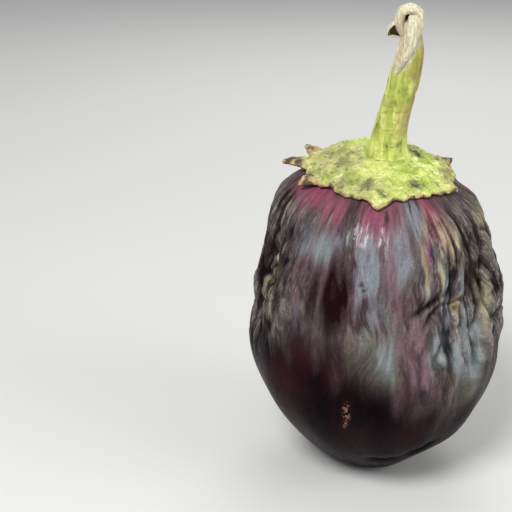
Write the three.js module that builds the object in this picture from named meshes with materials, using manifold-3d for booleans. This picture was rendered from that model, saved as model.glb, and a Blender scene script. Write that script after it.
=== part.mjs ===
// A ripe, slightly shrivelled globe eggplant standing on its blossom end, as picked, with its calyx and stem.
// Three pieces: the fruit, the calyx that caps it, and the stem with its torn, dry end.
// Millimetres, +Z up. The origin is the middle of the flat spot that the fruit stands on; -Y is the front.
import * as THREE from "three";
import { mergeVertices } from "three/addons/utils/BufferGeometryUtils.js";
import Module from "manifold-3d";

const wasm = await Module();
wasm.setup();

// Driving dimensions of the fruit
const FRUIT_RADIUS = 50;
const WIDEST_HEIGHT = 58;
const UPPER_REACH = 68;
const LOWER_REACH = 62.5;
const UPPER_POWER = 2.45;
const LOWER_POWER = 1.85;
const FOOT_BLEND = 1.2;
const FOLD_HEIGHT = 1.15;

// Driving dimensions of the calyx
const CALYX_CENTRE = { x: 0, y: -2 };
const CALYX_RADIUS = 26.4;
const CALYX_GAP = 0.4;
const CALYX_EDGE = 1.1;
const CALYX_THICKNESS = 4.8;
const CALYX_UNEVENNESS = 2.4;
const CALYX_THICKEST = 130;
const CALYX_FLESH_POWER = 0.55;
const RIM_STARTS = 0.72;
const COLLAR_RADIUS = 7.2;
const COLLAR_SHARE = 0.055;
const SEAT_HEIGHT = 130.6;

// Driving dimensions of the stem
const STEM_FOOT = { x: 1.6, y: -6.6 };
const STEM_GAP = 0.3;
const STEM_RIBS = 5;
const STEM_RIB_DEPTH = 0.28;
const STEM_FLATNESS = 0.94;

// Counts that set how fine the faces are, and how far columns and rows crowd together
// where the skin is shrivelled
const FRUIT_COLUMNS = 106;
const FRUIT_ROWS = 53;
const COLUMN_CROWDING = 18;
const CROWDED_SIDE = -14;
const ROW_CROWDING = 0.12;
const CROWDED_SHARE = 0.66;
const CALYX_COLUMNS = 96;
const CALYX_TOP_ROWS = 12;
const CALYX_UNDER_ROWS = 5;
const STALK_SIDES = 20;
const STALK_STEPS = 26;
const MERGE_REACH = 1e-4;

const TURN = 2 * Math.PI;
const radians = THREE.MathUtils.degToRad;
const smooth = (x, low, high) => THREE.MathUtils.smoothstep(x, low, high);

// Wide swells and sinks of the fruit: where (degrees round, height), half width, half height, and rise.
const SWELLS = [
  { at: [178, 90], size: [22, 13], rise: -1.9 },
  { at: [176, 113], size: [30, 13], rise: 4.2 },
  { at: [12, 92], size: [22, 13], rise: -4.4 },
  { at: [27, 113], size: [18, 7], rise: 1.8 },
  { at: [-2, 55], size: [20, 8], rise: -1.4 },
  { at: [178, 68], size: [22, 8], rise: -1.4 },
  { at: [-145, 15], size: [40, 16], rise: -2.2 },
  { at: [-98, 5], size: [34, 9], rise: -1.4 },
  { at: [-26, 86], size: [13, 8], rise: 1.9 },
  { at: [-20, 69], size: [18, 4.5], rise: -1.1 },
  { at: [180, 33], size: [26, 12], rise: -1.1 },
  { at: [-59, 86], size: [10, 12], rise: -2.3 },
  { at: [-38, 92], size: [7, 14], rise: -1.8 },
  { at: [-104, 92], size: [9, 22], rise: -0.8 },
  { at: [-158, 96], size: [8, 12], rise: -2.0 },
  { at: [24, 88], size: [10, 18], rise: -1.8 },
  { at: [70, 80], size: [12, 20], rise: -1.6 },
  { at: [112, 96], size: [10, 16], rise: -1.7 },
  { at: [-36, 7], size: [26, 9], rise: -3.2 },
];

// Creases where the skin has sunk in: points on them (degrees round, height), depth and half width,
// and how far the skin stands up on one side of it (the sign says which).
const CREASES = [
  { path: [[-81, 82], [-75, 87.5], [-64, 90]], depth: 3.0, width: 2.1, lip: 1.1 },
  { path: [[-53, 106], [-55, 98], [-58.5, 87], [-60, 77]], depth: 2.3, width: 1.8, lip: 0.5 },
  { path: [[-61, 88], [-50, 85]], depth: 2.0, width: 2.0, lip: -0.5 },
  { path: [[-53, 85], [-55, 77], [-60, 76]], depth: 1.1, width: 1.8, lip: 0 },
  { path: [[-22, 106], [-34, 97], [-41, 89], [-40, 82], [-33, 74]], depth: 3.0, width: 1.9, lip: -0.9 },
  { path: [[-14, 76], [-24, 71], [-34, 75]], depth: 1.9, width: 2.1, lip: 0.8 },
  { path: [[-12, 101], [-17, 90], [-13, 79]], depth: 2.0, width: 1.8, lip: 0.6 },
  { path: [[4, 105], [1, 92], [-3, 84], [2, 72]], depth: 2.0, width: 1.9, lip: 0.5 },
  { path: [[26, 108], [22, 92], [27, 74]], depth: 2.2, width: 2.1, lip: -0.6 },
  { path: [[-150, 104], [-152, 96], [-149, 86], [-153, 78]], depth: 2.1, width: 3.5, lip: 0.8 },
  { path: [[-170, 100], [-161, 97], [-156, 101]], depth: 1.3, width: 3.6, lip: 0.4 },
  { path: [[-168, 88], [-160, 90], [-152, 86]], depth: 1.5, width: 3.6, lip: -0.5 },
  { path: [[-136, 92], [-129, 85], [-123, 78]], depth: 0.8, width: 3.4, lip: 0.3 },
  { path: [[168, 108], [171, 92], [165, 76]], depth: 1.6, width: 4.0, lip: 0.5 },
  { path: [[66, 104], [72, 88], [68, 66]], depth: 1.7, width: 3.8, lip: 0.6 },
  { path: [[82, 92], [74, 84], [68, 86]], depth: 1.1, width: 3.8, lip: -0.4 },
  { path: [[110, 110], [114, 96], [108, 78]], depth: 1.6, width: 4.2, lip: 0.5 },
  { path: [[-96, 15], [-86, 14], [-78, 16]], depth: 1.6, width: 2.6, lip: 0.4 },
  { path: [[-74, 19], [-66, 20], [-58, 23]], depth: 1.4, width: 2.4, lip: 0.4 },
];

// Points of the calyx: degrees round, how far the tip stands out, half width in degrees and how far it lifts
const LOBES = [
  { at: -98, out: 3.2, half: 17, lift: 0.4 },
  { at: -62, out: -1.4, half: 16, lift: 0.3 },
  { at: -25, out: 2.0, half: 9, lift: 0.8 },
  { at: 24, out: 3.2, half: 12, lift: 3.6 },
  { at: 84, out: 4.8, half: 17, lift: 0.8 },
  { at: 144, out: 3.6, half: 12, lift: 6.4 },
  { at: 172, out: 5.0, half: 8, lift: 6.0 },
  { at: -162, out: 4.0, half: 9, lift: 2.4 },
  { at: -137, out: -0.8, half: 16, lift: 0.5 },
];

// The stalk's centre line with its radius at each point
const STALK = [
  { at: [STEM_FOOT.x, STEM_FOOT.y, SEAT_HEIGHT + STEM_GAP], radius: 7.1 },
  { at: [1.4, -7.4, 135], radius: 6.6 },
  { at: [1.9, -8.8, 141], radius: 5.9 },
  { at: [3.6, -11, 151], radius: 5.3 },
  { at: [5.6, -14, 162], radius: 5.2 },
  { at: [6.6, -16.3, 170], radius: 4.8 },
  { at: [6.8, -17.6, 174.5], radius: 4.0 },
  { at: [6.2, -18.4, 178], radius: 3.6 },
  { at: [6.0, -18.8, 180.4], radius: 3.3 },
];

// The torn end curls round a small hollow, a dry flap folds out on its left,
// and a strip of peel hangs in front.
const CURL = {
  path: [
    [7.8, -18.6, 176.5],
    [9, -19.4, 181],
    [8.9, -20, 185],
    [6.2, -20.2, 186.9],
    [3.2, -20, 186.1],
    [2.2, -19.6, 183.4],
    [2.8, -19, 180.4],
    [4.6, -18.4, 177],
  ],
  wide: [2.4, 3.0, 3.2, 3.3, 3.2, 2.9, 2.6, 2.0],
  thick: [1.2, 1.3, 1.45, 1.5, 1.6, 1.75, 1.8, 1.6],
  across: [0, 1, 0.25],
  sides: 10,
  steps: 16,
};
const FLAP = {
  path: [
    [2.6, -18.8, 182.4],
    [0, -18, 181.2],
    [-1.5, -17.2, 179],
    [-1.3, -16.6, 177.4],
    [0.6, -16.8, 177.3],
    [3.6, -17.4, 176.6],
  ],
  wide: [1.2, 1.7, 1.8, 1.6, 1.5, 1.2],
  thick: [0.5, 0.5, 0.5, 0.5, 0.55, 0.6],
  across: [0, 1, 0.2],
  sides: 8,
  steps: 10,
};
const STRIP = {
  path: [
    [7.8, -20, 185.4],
    [7, -22.2, 183.4],
    [6.8, -22.9, 180.3],
    [6.4, -22.5, 176.6],
    [6.2, -21.8, 173],
    [4.4, -20.9, 169.8],
    [2.9, -19.4, 166.4],
    [2.3, -18.3, 164.2],
  ],
  wide: [2.2, 2.5, 2.3, 1.8, 1.4, 1.3, 0.9, 0.4],
  thick: [1.2, 1.2, 1.0, 0.9, 0.8, 0.7, 0.6, 0.4],
  across: [1, 0.2, -0.3],
  sides: 8,
  steps: 16,
};

// Lumps that close the curl and the flap from behind
const LUMPS = [
  { middle: [5.4, -19.2, 180.2], size: [3.2, 2.5, 3.2] },
  { middle: [5.4, -17.6, 183.2], size: [3.4, 1.2, 3.4] },
  { middle: [1.2, -17.0, 179.6], size: [2.6, 0.5, 2.5] },
];

// Degrees from one direction round to another, between -180 and 180.
const degreesBetween = (a, b) => ((((a - b) % 360) + 540) % 360) - 180;

// Distance in millimetres on the skin from a point to a crease,
// how far along it the point lies (0 to 1), and on which side.
function fromCrease(path, degrees, height) {
  const reach = radians(1) * FRUIT_RADIUS * 0.94;
  const flat = path.map(([d, z]) => [degreesBetween(d, degrees) * reach, z - height]);
  const lengths = flat.slice(1).map((p, i) => Math.hypot(p[0] - flat[i][0], p[1] - flat[i][1]));
  const total = lengths.reduce((sum, l) => sum + l, 0);
  let best = { distance: Infinity, along: 0, side: 1 };
  let before = 0;
  for (let i = 0; i < lengths.length; i++) {
    const [ax, ay] = flat[i];
    const [dx, dy] = [flat[i + 1][0] - ax, flat[i + 1][1] - ay];
    const share = THREE.MathUtils.clamp(-(ax * dx + ay * dy) / lengths[i] ** 2, 0, 1);
    const distance = Math.hypot(ax + dx * share, ay + dy * share);
    if (distance < best.distance) {
      const along = (before + lengths[i] * share) / total;
      best = { distance, along, side: Math.sign(ax * dy - ay * dx) || 1 };
    }
    before += lengths[i];
  }
  return best;
}

// How much of the skin's shrivelling shows at a place: full on the right and the far left,
// faint in front, none low down.
function shrivel(degrees, height) {
  const upright = smooth(height, 50, 72) * (1 - smooth(height, 110, 119));
  const right = 1 - smooth(Math.abs(degreesBetween(degrees, -14)), 44, 66);
  const left = 1 - smooth(Math.abs(degreesBetween(degrees, 178)), 26, 48);
  const back = 0.6 * (1 - smooth(Math.abs(degreesBetween(degrees, 88)), 34, 60));
  return upright * Math.max(right, left, back, 0.14);
}

// How far the skin stands out from the plain body at a place, in millimetres.
function relief(degrees, height) {
  const a = radians(degrees);
  const body = smooth(height, 6, 34) * (1 - smooth(height, 112, 121));
  const broad = 0.55 * Math.cos(5 * a + 0.8) + 0.42 * Math.cos(8 * a - 1.1 + height / 60);
  const narrow = 0.3 * Math.cos(13 * a + 2 + Math.sin(height / 22));
  const bend = 0.22 * Math.sin(height / 9 + 3 * a) + 0.13 * Math.sin(height / 5 - 7 * a);
  const folds = Math.abs(Math.sin(13.5 * (a + bend * 0.45) + 0.4)) ** 0.8;
  const smallFolds = Math.abs(Math.sin(21.5 * (a - bend * 0.3) + 1.9)) ** 0.8;
  let out = (broad + narrow) * body + shrivel(degrees, height) * FOLD_HEIGHT * (folds + 0.6 * smallFolds - 1);
  const crown = 1 - smooth(height, 118, 126);
  for (const { at, size, rise } of SWELLS) {
    const across = (degreesBetween(degrees, at[0]) * radians(1) * FRUIT_RADIUS) / size[0];
    out += crown * rise * Math.exp(-(across ** 2) - ((height - at[1]) / size[1]) ** 2);
  }
  for (const { path, depth, width, lip } of CREASES) {
    const { distance, along, side } = fromCrease(path, degrees, height);
    const taper = Math.sqrt(Math.sin(Math.PI * (0.04 + 0.92 * along)));
    const groove = Math.exp(-((distance / width) ** 2));
    const edge = Math.exp(-(((distance - 2.2 * width) / (1.3 * width)) ** 2));
    out += taper * (lip * side * edge * Math.sin(Math.PI * along) - depth * groove);
  }
  return out;
}

// The plain body's reach from its middle in a direction: a superellipse, fuller above than below.
function reach(latitude) {
  const above = latitude > 0;
  const power = above ? UPPER_POWER : LOWER_POWER;
  const tall = above ? UPPER_REACH : LOWER_REACH;
  const [across, up] = [Math.cos(latitude) / FRUIT_RADIUS, Math.abs(Math.sin(latitude)) / tall];
  return (across ** power + up ** power) ** (-1 / power);
}

// Levels off what would lie below the surface that the fruit stands on, with a soft edge.
function settle(height) {
  if (height < -FOOT_BLEND) return 0;
  return height > FOOT_BLEND ? height : (height + FOOT_BLEND) ** 2 / (4 * FOOT_BLEND);
}

// A point of the skin, or a lift above it, in the direction given by degrees round and latitude.
function skin(degrees, latitude, lift = 0) {
  const plain = reach(latitude);
  const height = WIDEST_HEIGHT + plain * Math.sin(latitude);
  const far = plain + relief(degrees, height) + lift;
  const out = far * Math.cos(latitude);
  const z = settle(WIDEST_HEIGHT + far * Math.sin(latitude));
  return new THREE.Vector3(out * Math.cos(radians(degrees)), out * Math.sin(radians(degrees)), z);
}

// A point above the skin, over a place in plan.
function overSkin(x, y, lift) {
  const out = Math.max(Math.hypot(x, y), 1e-6);
  const height = UPPER_REACH * (1 - (out / FRUIT_RADIUS) ** UPPER_POWER) ** (1 / UPPER_POWER);
  return skin(THREE.MathUtils.radToDeg(Math.atan2(y, x)), Math.atan2(height, out), lift);
}

// Gathers points and faces into one closed geometry.
class Shell {
  constructor() {
    this.points = [];
    this.faces = [];
  }
  add(point) {
    this.points.push(point.x, point.y, point.z);
    return this.points.length / 3 - 1;
  }
  ring(points) {
    return points.map((p) => this.add(p));
  }
  band(lower, upper) {
    for (let i = 0; i < lower.length; i++) {
      const next = (i + 1) % lower.length;
      this.faces.push(lower[i], lower[next], upper[next], lower[i], upper[next], upper[i]);
    }
  }
  fan(ring, tip, facingUp) {
    for (let i = 0; i < ring.length; i++) {
      const next = (i + 1) % ring.length;
      this.faces.push(...(facingUp ? [ring[i], ring[next], tip] : [ring[next], ring[i], tip]));
    }
  }
  geometry() {
    const made = new THREE.BufferGeometry();
    made.setAttribute("position", new THREE.Float32BufferAttribute(this.points, 3));
    made.setIndex(this.faces);
    return made;
  }
}

// Columns crowd together round the front right and rows above the middle, where the skin is most shrivelled.
function columnDegrees(share) {
  return share * 360 - 180 - COLUMN_CROWDING * Math.sin(TURN * share - radians(180 + CROWDED_SIDE));
}

function rowLatitude(share) {
  const crowded = TURN * CROWDED_SHARE;
  return Math.PI * (share - 0.5) - ROW_CROWDING * (Math.sin(TURN * share - crowded) + Math.sin(crowded));
}

// The flat spot is one fan of faces, so the rings inside it are left out.
function fruitGeometry() {
  const shell = new Shell();
  const columns = Array.from({ length: FRUIT_COLUMNS }, (_, i) => columnDegrees(i / FRUIT_COLUMNS));
  const latitudes = Array.from({ length: FRUIT_ROWS - 1 }, (_, i) => rowLatitude((i + 1) / FRUIT_ROWS));
  const levels = latitudes.map((latitude) => columns.map((degrees) => skin(degrees, latitude)));
  const edgeOfFlat = levels.findLastIndex((points) => points.every((point) => point.z === 0));
  const rings = levels.slice(edgeOfFlat).map((points) => shell.ring(points));
  rings.slice(1).forEach((ring, i) => shell.band(rings[i], ring));
  shell.fan(rings[0], shell.add(skin(0, -Math.PI / 2)), false);
  shell.fan(rings[rings.length - 1], shell.add(skin(0, Math.PI / 2)), true);
  return shell.geometry();
}

// How near a direction is to the tip of a lobe: 1 at the tip, 0 past its half width.
const lobeShare = (degrees, lobe) => Math.max(0, 1 - Math.abs(degreesBetween(degrees, lobe.at)) / lobe.half);

// The calyx's outline in plan: lobes on a ragged round rim.
function rimRadius(degrees) {
  const a = radians(degrees);
  const ragged = 0.35 * Math.sin(11 * a + 1) + 0.3 * Math.sin(19 * a + 2.2) + 0.22 * Math.sin(31 * a);
  const round = CALYX_RADIUS + 0.9 * Math.cos(2 * a + 0.5) + ragged;
  return LOBES.reduce((sum, lobe) => sum + lobe.out * lobeShare(degrees, lobe) ** 1.35, round);
}

// How far the rim has lifted off the fruit as it dried.
function rimLift(degrees) {
  const a = radians(degrees);
  const waved = 0.25 + 0.25 * Math.sin(7 * a + 0.6) + 0.15 * Math.sin(13 * a);
  return LOBES.reduce((sum, lobe) => sum + lobe.lift * lobeShare(degrees, lobe) ** 1.2, Math.max(0, waved));
}

// The calyx's top: thick and lumpy in the middle, thin at the rim, and drawn up round the stem.
function calyxLift(degrees, share, x, y) {
  const flesh = CALYX_THICKNESS + CALYX_UNEVENNESS * Math.cos(radians(degrees - CALYX_THICKEST));
  const thick = CALYX_GAP + CALYX_EDGE + flesh * (1 - share) ** CALYX_FLESH_POWER;
  const lumps = 0.5 * Math.sin(x / 2.1 + 0.8 * Math.sin(y / 3.1)) * Math.sin(y / 2.4 + 0.4);
  const slantedLumps = 0.35 * Math.sin(x / 3.9 - y / 2.9 + 1);
  const lumpiness = smooth(share, 0.05, 0.3) * (1 - 0.6 * share);
  const ribs = LOBES.reduce((sum, lobe) => sum + (lobe.out > 2 ? lobeShare(degrees, lobe) : 0), 0);
  const rim = rimLift(degrees) * smooth(share, RIM_STARTS, 1) ** 1.5;
  return thick + (lumps + slantedLumps) * lumpiness + 0.5 * ribs * (1 - share) + rim;
}

// Where a place on the calyx lies in plan: the stem's foot is a little off the calyx's middle.
function calyxPlan(degrees, share) {
  const toMiddle = smooth(share, 0, 0.9);
  const x = THREE.MathUtils.lerp(STEM_FOOT.x, CALYX_CENTRE.x, toMiddle);
  const y = THREE.MathUtils.lerp(STEM_FOOT.y, CALYX_CENTRE.y, toMiddle);
  const out = THREE.MathUtils.lerp(COLLAR_RADIUS, rimRadius(degrees), share);
  return [x + out * Math.cos(radians(degrees)), y + out * Math.sin(radians(degrees))];
}

function calyxGeometry() {
  const shell = new Shell();
  const columns = Array.from({ length: CALYX_COLUMNS }, (_, i) => (360 * i) / CALYX_COLUMNS);
  const topPoint = (degrees, share) => {
    const [x, y] = calyxPlan(degrees, share);
    const point = overSkin(x, y, calyxLift(degrees, share, x, y));
    point.z = THREE.MathUtils.lerp(SEAT_HEIGHT, point.z, 1 - Math.exp(-share / COLLAR_SHARE));
    return point;
  };
  const underPoint = (degrees, share) => {
    const [x, y] = calyxPlan(degrees, share);
    const top = calyxLift(degrees, share, x, y);
    return overSkin(x, y, Math.max(CALYX_GAP, top - CALYX_EDGE - 1.4 * CALYX_THICKNESS * (1 - share)));
  };
  const topRows = Array.from({ length: CALYX_TOP_ROWS + 1 }, (_, i) => i / CALYX_TOP_ROWS);
  const topShares = topRows.map((row) => 1 - row ** 0.72).reverse();
  const tops = topShares.map((share) => shell.ring(columns.map((degrees) => topPoint(degrees, share))));
  const underRows = Array.from({ length: CALYX_UNDER_ROWS }, (_, i) => i / (CALYX_UNDER_ROWS - 1));
  const underShares = underRows.map((row) => row ** 0.75);
  const unders = underShares.map((share) => shell.ring(columns.map((degrees) => underPoint(degrees, share))));
  tops.slice(1).forEach((ring, i) => shell.band(ring, tops[i]));
  unders.slice(1).forEach((ring, i) => shell.band(unders[i], ring));
  shell.band(unders[unders.length - 1], tops[tops.length - 1]);
  shell.fan(tops[0], shell.add(new THREE.Vector3(STEM_FOOT.x, STEM_FOOT.y, SEAT_HEIGHT)), true);
  shell.fan(unders[0], shell.add(overSkin(STEM_FOOT.x, STEM_FOOT.y, CALYX_GAP)), false);
  return shell.geometry();
}

// A curve's points, and a value read between the values given at its ends and bends.
const curveOf = (path) => new THREE.CatmullRomCurve3(path.map((p) => new THREE.Vector3(...p)));
function valueAt(values, share) {
  const place = Math.min(share * (values.length - 1), values.length - 1.001);
  const before = Math.floor(place);
  return THREE.MathUtils.lerp(values[before], values[before + 1], place - before);
}

// The oval ring of points round a curve's middle, with its wide side along one direction.
function ovalRing({ middle, side, over, wide, thick, sides, ribs }) {
  return Array.from({ length: sides }, (_, k) => {
    const turn = (TURN * k) / sides;
    const swell = 1 + (ribs * Math.cos(STEM_RIBS * turn)) / wide;
    const point = middle.clone().addScaledVector(side, swell * wide * Math.cos(turn));
    return point.addScaledVector(over, swell * thick * Math.sin(turn));
  });
}

// A closed tube of oval rings along a curve; every ring's wide side stays square to the direction given.
function tubeGeometry({ path, wide, thick, sides, steps, across, levelFoot = false, ribs = 0 }) {
  const shell = new Shell();
  const curve = curveOf(path);
  const widest = new THREE.Vector3(...across);
  const up = new THREE.Vector3(0, 0, 1);
  const rings = [];
  for (let i = 0; i <= steps; i++) {
    const share = i / steps;
    const tangent = curve.getTangent(share);
    const onward = levelFoot ? up.clone().lerp(tangent, smooth(share, 0, 0.2)).normalize() : tangent;
    const side = widest.clone().addScaledVector(onward, -widest.dot(onward)).normalize();
    const over = new THREE.Vector3().crossVectors(onward, side);
    const size = { wide: valueAt(wide, share), thick: valueAt(thick, share) };
    rings.push(shell.ring(ovalRing({ middle: curve.getPoint(share), side, over, sides, ribs, ...size })));
  }
  rings.slice(1).forEach((ring, i) => shell.band(rings[i], ring));
  shell.fan(rings[0], shell.add(curve.getPoint(0)), false);
  shell.fan(rings[steps], shell.add(curve.getPoint(1)), true);
  return shell.geometry();
}

function lumpGeometry({ middle, size }) {
  const lump = new THREE.SphereGeometry(1, 12, 8);
  lump.deleteAttribute("normal");
  lump.deleteAttribute("uv");
  return lump.scale(...size).translate(...middle);
}

function solidOf(geometry) {
  const merged = mergeVertices(geometry, MERGE_REACH);
  const vertProperties = new Float32Array(merged.attributes.position.array);
  const triVerts = new Uint32Array(merged.index.array);
  return new wasm.Manifold(new wasm.Mesh({ numProp: 3, vertProperties, triVerts }));
}

function geometryOf(solid) {
  const mesh = solid.getMesh();
  const made = new THREE.BufferGeometry();
  made.setAttribute("position", new THREE.BufferAttribute(new Float32Array(mesh.vertProperties), 3));
  made.setIndex(new THREE.BufferAttribute(new Uint32Array(mesh.triVerts), 1));
  return made;
}

function stemGeometry() {
  const radii = STALK.map((point) => point.radius);
  const stalk = tubeGeometry({
    path: STALK.map((point) => point.at),
    wide: radii,
    thick: radii.map((radius) => radius * STEM_FLATNESS),
    sides: STALK_SIDES,
    steps: STALK_STEPS,
    across: [1, 0, 0],
    levelFoot: true,
    ribs: STEM_RIB_DEPTH,
  });
  const tornEnd = [CURL, FLAP, STRIP].map((shape) => tubeGeometry(shape)).concat(LUMPS.map(lumpGeometry));
  return geometryOf(tornEnd.reduce((whole, piece) => whole.add(solidOf(piece)), solidOf(stalk)));
}

function fruit() {
  const skinColour = new THREE.MeshStandardMaterial({ color: 0x2b1522, roughness: 0.32, metalness: 0 });
  const mesh = new THREE.Mesh(fruitGeometry(), skinColour);
  mesh.name = "fruit";
  return mesh;
}

function calyx() {
  const freshGreen = new THREE.MeshStandardMaterial({ color: 0xa9bf4a, roughness: 0.7, metalness: 0 });
  const mesh = new THREE.Mesh(calyxGeometry(), freshGreen);
  mesh.name = "calyx";
  return mesh;
}

function stem() {
  const paleGreen = new THREE.MeshStandardMaterial({ color: 0xa8b552, roughness: 0.6, metalness: 0 });
  const mesh = new THREE.Mesh(stemGeometry(), paleGreen);
  mesh.name = "stem";
  return mesh;
}

const eggplant = new THREE.Group();
eggplant.add(fruit(), calyx(), stem());

export default eggplant;
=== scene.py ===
"""Dresses the eggplant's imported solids: fine meshes and materials for the fruit, its calyx and its stem."""
import math

import bpy
import numpy as np
from bpy.props import FloatProperty, FloatVectorProperty, IntProperty, PointerProperty
from bpy.types import Operator, Panel, PropertyGroup
from mathutils import Matrix, Vector


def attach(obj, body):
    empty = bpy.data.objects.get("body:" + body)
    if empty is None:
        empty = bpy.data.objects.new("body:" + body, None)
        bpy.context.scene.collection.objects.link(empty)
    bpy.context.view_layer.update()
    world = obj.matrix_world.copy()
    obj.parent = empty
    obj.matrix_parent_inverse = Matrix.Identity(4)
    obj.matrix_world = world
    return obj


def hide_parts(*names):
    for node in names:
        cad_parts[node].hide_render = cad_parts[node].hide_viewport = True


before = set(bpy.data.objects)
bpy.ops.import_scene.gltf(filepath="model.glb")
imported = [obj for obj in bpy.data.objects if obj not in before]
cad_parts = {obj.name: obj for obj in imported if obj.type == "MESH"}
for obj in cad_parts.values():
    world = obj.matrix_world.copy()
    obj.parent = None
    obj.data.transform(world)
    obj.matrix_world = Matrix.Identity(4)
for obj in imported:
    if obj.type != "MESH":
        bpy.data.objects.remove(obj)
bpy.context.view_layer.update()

bl_info = {
    "name": "Eggplant",
    "version": (1, 0, 0),
    "blender": (4, 5, 0),
    "location": "View3D > Sidebar > Eggplant",
    "description": "A ripe, slightly shrivelled globe eggplant with its calyx and stem",
    "category": "Add Mesh",
}

MM = 0.001
TURN = 2 * math.pi

# Millimetres along the skin for one degree round it, at the level of each kind of mark.
BODY_DEGREE = math.radians(1) * 50
CREASE_DEGREE = math.radians(1) * 47
PATCH_DEGREE, PRICK_DEGREE, SCUFF_DEGREE = 0.84, 0.82, 0.8

# The painted shade in the middle of a prick is 0.8 times as wide as its dent.
PRICK_CORE = 0.8**-2

# The grid of random values: its levels, and how far under the floor it starts, in millimetres.
LATTICE_LEVELS = 96
LATTICE_START = 40

# Radius of the tube on which the skin's streaks are drawn.
STREAK_RADIUS = 50 * MM

# Wide swells and sinks of the fruit: degrees round, height, half width, half height and rise, in millimetres.
SWELLS = (
    (178, 90, 22, 13, -1.9), (176, 113, 30, 13, 4.2), (12, 92, 22, 13, -4.4), (27, 113, 18, 7, 1.8),
    (-2, 55, 20, 8, -1.4), (178, 68, 22, 8, -1.4), (-145, 15, 40, 16, -2.2), (-98, 5, 34, 9, -1.4),
    (-26, 86, 13, 8, 1.9), (-20, 69, 18, 4.5, -1.1), (180, 33, 26, 12, -1.1), (-59, 86, 10, 12, -2.3),
    (-38, 92, 7, 14, -1.8), (-104, 92, 9, 22, -0.8), (-158, 96, 8, 12, -2), (24, 88, 10, 18, -1.8),
    (70, 80, 12, 20, -1.6), (112, 96, 10, 16, -1.7), (-36, 7, 26, 9, -3.2),
)

# Creases where the skin has sunk in: points on them (degrees round, height), depth, half width, raised lip.
CREASES = (
    (((-81, 83), (-75, 85.7), (-69, 88.3), (-61.5, 90.4)), 3.6, 1.35, 1.4),
    (((-76, 77), (-71, 83), (-65, 86.5), (-60, 87)), 1.5, 1, 0.9),
    (((-57, 105), (-58, 98), (-58, 90), (-60, 79)), 2.6, 1, 0.6),
    (((-60, 86), (-55, 87), (-51, 86)), 2, 1, 0.4), (((-53, 85), (-55, 77), (-60, 76)), 1.2, 1.1, 0.3),
    (((-22, 106), (-34, 97), (-41, 89), (-40, 82), (-33, 74)), 3, 1.2, -0.9),
    (((-46, 104), (-44, 97), (-47, 90), (-45, 82), (-50, 72)), 1.6, 1, 0.6),
    (((-14, 76), (-24, 71), (-34, 75)), 1.9, 1.3, 0.8),
    (((-30, 99), (-26, 88), (-18, 78), (-8, 64)), 1.8, 1.1, -0.7),
    (((-12, 101), (-17, 90), (-13, 79)), 2, 1.2, 0.6),
    (((4, 105), (1, 92), (-3, 84), (2, 72)), 2, 1.3, 0.5),
    (((26, 108), (22, 92), (27, 74)), 2.2, 1.4, -0.6),
    (((-150, 104), (-152, 96), (-148, 88), (-153, 78)), 2.2, 1.3, 0.8),
    (((-170, 100), (-161, 97), (-156, 101)), 1.5, 1.2, 0.5),
    (((-170, 87), (-160, 89), (-152, 85)), 1.8, 1.2, -0.7),
    (((-165, 80), (-158, 77), (-152, 79)), 1.2, 1.2, 0.6),
    (((-136, 92), (-129, 85), (-123, 78)), 0.9, 1.2, 0.3),
    (((-71, 62), (-66, 72), (-68, 82)), 1.2, 1, 0.5),
    (((-76, 60), (-77, 67), (-74, 72)), 0.8, 0.9, 0.3),
    (((168, 108), (171, 92), (165, 76)), 1.8, 1.6, 0.5),
    (((66, 104), (72, 88), (68, 66)), 1.9, 1.6, 0.6), (((82, 92), (74, 84), (68, 86)), 1.3, 1.4, -0.4),
    (((110, 110), (114, 96), (108, 78)), 1.8, 1.6, 0.5),
    (((-96, 15), (-86, 14), (-78, 16)), 1.8, 2.7, 0.3),
    (((-74, 19), (-66, 20), (-58, 23)), 1.7, 2.4, 0.3),
)

# Small pricks in the skin: degrees round, height, half width and depth.
PRICKS = (
    (-103, 94.6, 1.15, 1.3), (-101.6, 92.6, 0.9, 1), (-57, 84, 2, 1.4), (-75.5, 87, 1.5, 1),
    (-160, 98.5, 2.4, 1.6), (-157, 93, 1.8, 1.4), (-162, 104, 1.8, 1.1),
)

# Crumpled places of the skin: degrees round, height, half width, half height (millimetres) and depth.
CRUMPLES = (
    (-160, 88, 13, 15, 1.5), (-172, 104, 12, 9, 0.7), (-142, 92, 7, 10, 0.6), (-54, 90, 8, 12, 0.6),
    (-34, 90, 10, 16, 0.9), (-10, 86, 13, 17, 0.9), (-66, 70, 6, 12, 0.5), (22, 92, 14, 16, 1),
    (68, 84, 14, 18, 0.9), (112, 94, 12, 16, 0.9),
)

# Shrivelled sides: degrees round of the middle, how far they are whole, how far they reach, and strength.
SHRIVELLED_SIDES = ((-14, 42, 66, 1), (178, 26, 52, 1), (88, 34, 60, 0.6))
LEAST_SHRIVEL = 0.16

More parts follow.
